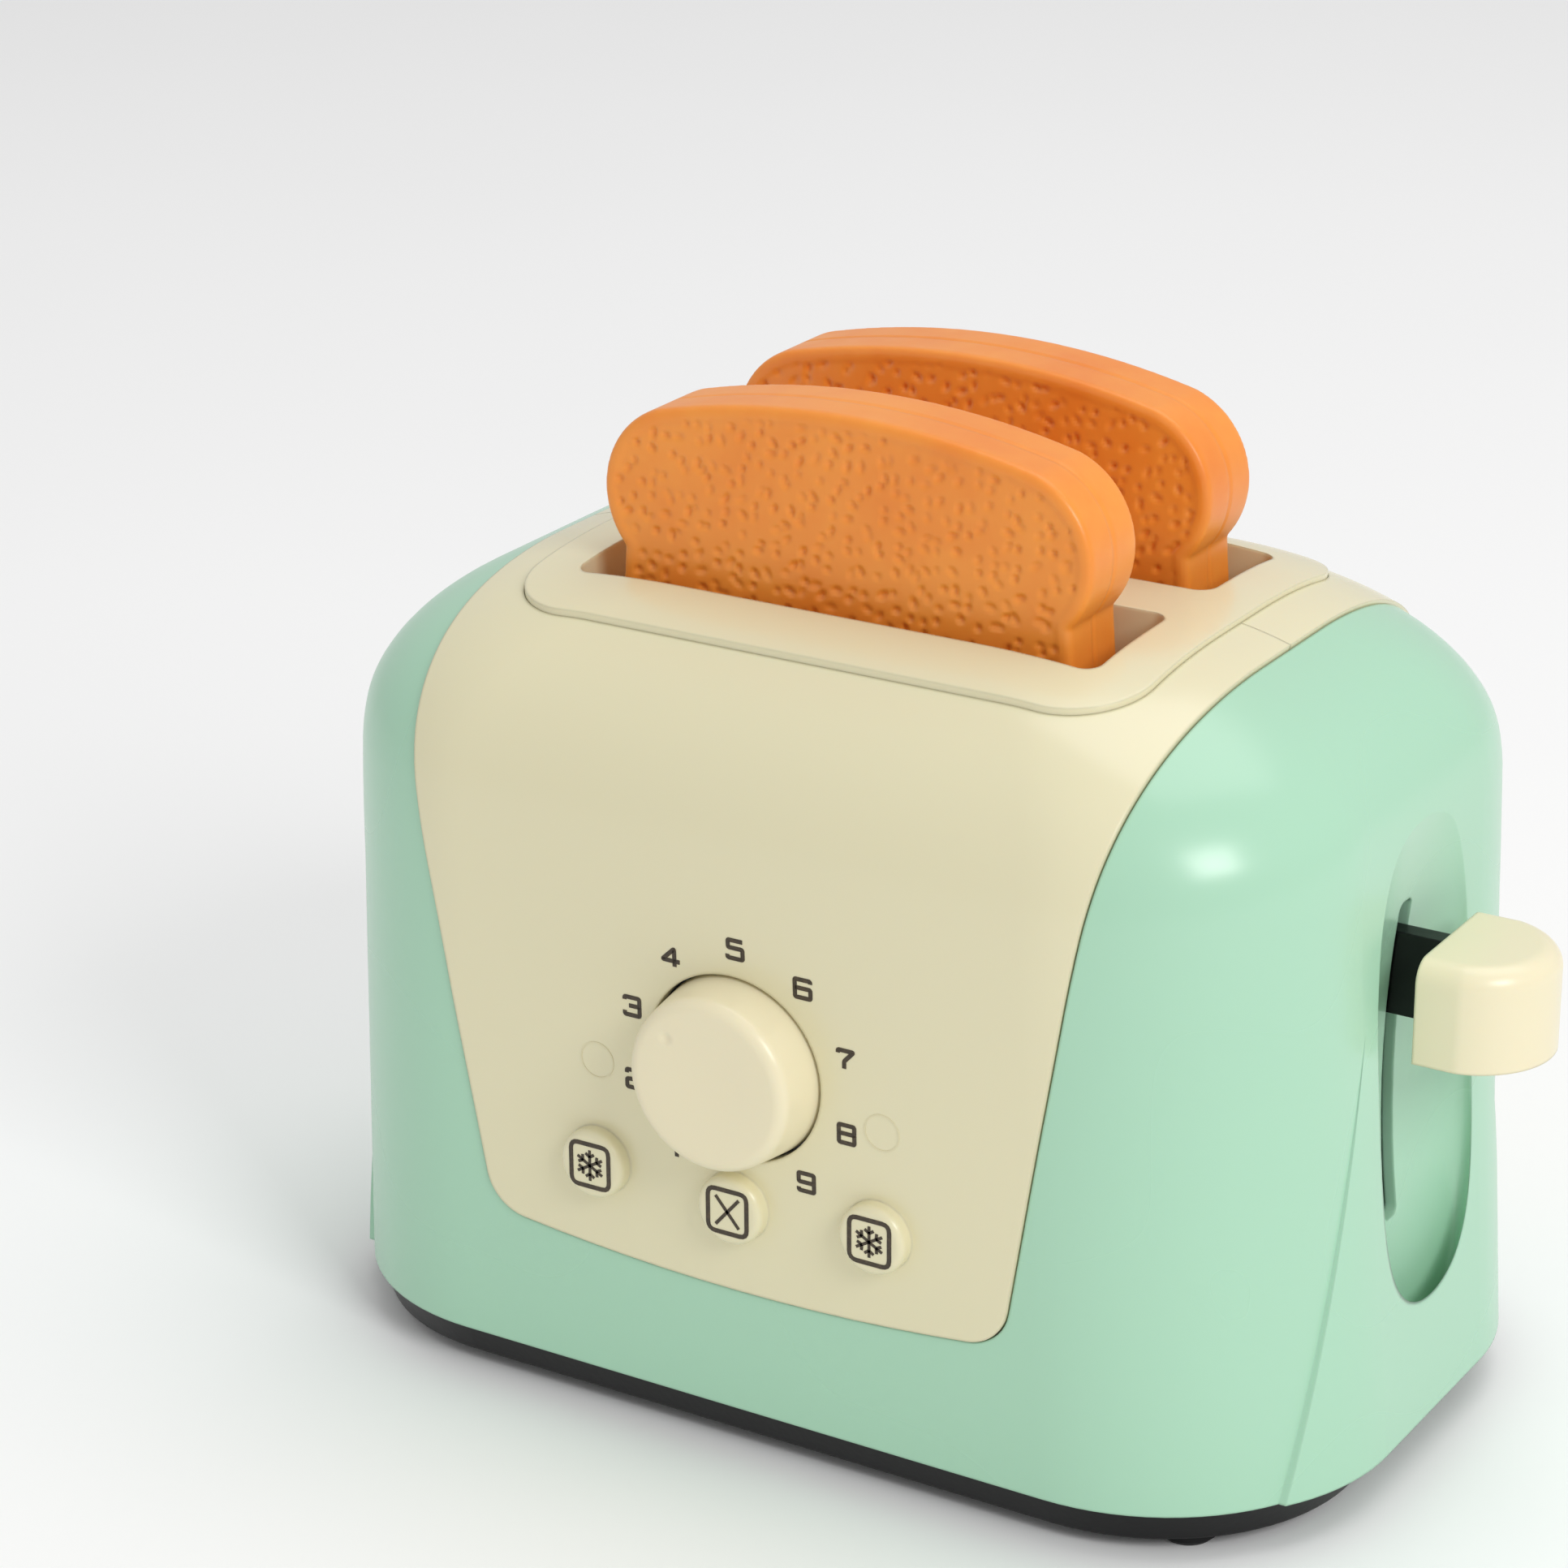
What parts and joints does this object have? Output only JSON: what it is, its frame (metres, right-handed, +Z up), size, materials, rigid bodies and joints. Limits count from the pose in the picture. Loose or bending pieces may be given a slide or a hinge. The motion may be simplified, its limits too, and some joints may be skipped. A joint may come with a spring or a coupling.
{
  "type": "toy toaster",
  "caption": "Two-slot play toaster with a sprung push-down lever, lift-out toast slices and a turning numbered timer dial.",
  "frame": {"origin": "on the floor under the middle of the body, mid-length and mid-depth", "axes": "+Z up, +X along the body towards the lever end, -Y towards the front panel with the dial"},
  "size_m": [0.2303, 0.1444, 0.1864],
  "materials": {
    "cream": "satin moulded",
    "green": "glossy moulded",
    "black": "fine matte",
    "foot": "soft matte",
    "toast": "pimpled satin",
    "steel": "drawn wire",
    "zinc": "plated",
    "white": "moulded nylon"
  },
  "bodies": {
    "shell": {"housing_shell": "green", "front_panel": "cream", "rear_panel": "cream", "slot_bezel": "cream", "base_plate": "black", "foot_front_left": "foot", "foot_front_right": "foot", "foot_rear_left": "foot", "foot_rear_right": "foot", "base_screws": "steel", "guide_rod_front": "steel", "guide_rod_rear": "steel", "rod_bracket": "white", "rod_buffers": "foot", "return_spring_front": "steel", "return_spring_rear": "steel", "latch_pin": "steel", "timer_arbors": "steel", "timer_front_plate": "zinc", "timer_rear_plate": "zinc", "timer_pillars": "steel", "timer_screws": "steel", "mainspring": "steel"},
    "carriage": {"carriage_frame": "black", "cradle_front": "black", "cradle_rear": "black", "lever_arm": "black", "lever_knob": "cream"},
    "toast_front_slice": {"toast_front": "toast"},
    "toast_rear_slice": {"toast_rear": "toast"},
    "dial": {"timer_knob": "cream", "timer_shaft": "steel", "main_gear": "white", "trip_cam": "white"},
    "second_wheel": {"second_gear": "white"},
    "governor": {"governor_fan": "white"},
    "latch": {"latch_hook": "white"}
  },
  "joints": [
    {"name": "carriage_slide", "type": "slide", "parent": "shell", "child": "carriage", "axis": [0, 0, 1], "range_m": [-0.038, 0], "stiffness_N_per_m": 60, "springref_m": 0.03, "deforming": ["return_spring_front", "return_spring_rear"]},
    {"name": "toast_front_lift", "type": "slide", "parent": "carriage", "child": "toast_front_slice", "axis": [0, 0, 1], "range_m": [0, 0.105]},
    {"name": "toast_rear_lift", "type": "slide", "parent": "carriage", "child": "toast_rear_slice", "axis": [0, 0, 1], "range_m": [0, 0.105]},
    {"name": "dial_turn", "type": "hinge", "parent": "shell", "child": "dial", "pos_m": [0, -0.061, 0.0775], "axis": [0, 1, 0], "range_deg": [-90, 198]},
    {"name": "second_wheel_turn", "type": "hinge", "parent": "shell", "child": "second_wheel", "pos_m": [0.01768, -0.055, 0.05982], "axis": [0, 1, 0], "range_deg": [-793, 361]},
    {"name": "governor_turn", "type": "hinge", "parent": "shell", "child": "governor", "pos_m": [0.00354, -0.05, 0.04568], "axis": [0, 1, 0], "range_deg": [-1081, 2377]},
    {"name": "latch_swing", "type": "hinge", "parent": "shell", "child": "latch", "pos_m": [0.046, 0, 0.015], "axis": [0, 1, 0], "range_deg": [0, 8]}
  ],
  "couplings": [
    {"joint": "second_wheel_turn", "follows": "dial_turn", "ratio": -4},
    {"joint": "governor_turn", "follows": "dial_turn", "ratio": 12}
  ]
}
